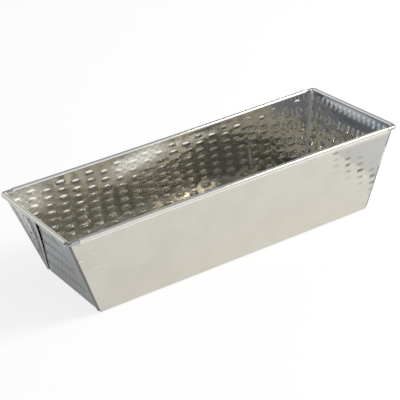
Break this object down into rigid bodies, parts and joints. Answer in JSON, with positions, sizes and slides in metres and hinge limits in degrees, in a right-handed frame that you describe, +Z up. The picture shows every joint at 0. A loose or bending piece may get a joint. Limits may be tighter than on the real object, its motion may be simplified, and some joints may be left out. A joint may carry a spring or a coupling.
{
  "type": "loaf pan",
  "caption": "Rectangular flared loaf pan folded from a sheet of embossed tinplate, with double corner gussets on the ends and a rolled rim over a wire ring.",
  "frame": {"origin": "centre of the flat underside, on the surface that the pan stands on", "axes": "+X along the pan, +Y across it, +Z up out of the opening"},
  "size_m": [0.3004, 0.1152, 0.073],
  "materials": {
    "tinplate": "bright tinned steel, embossed with short staggered dimples",
    "wire": "bright drawn steel wire"
  },
  "bodies": {
    "root": {"folded_body": "tinplate", "rim_wire": "wire"}
  },
  "joints": []
}
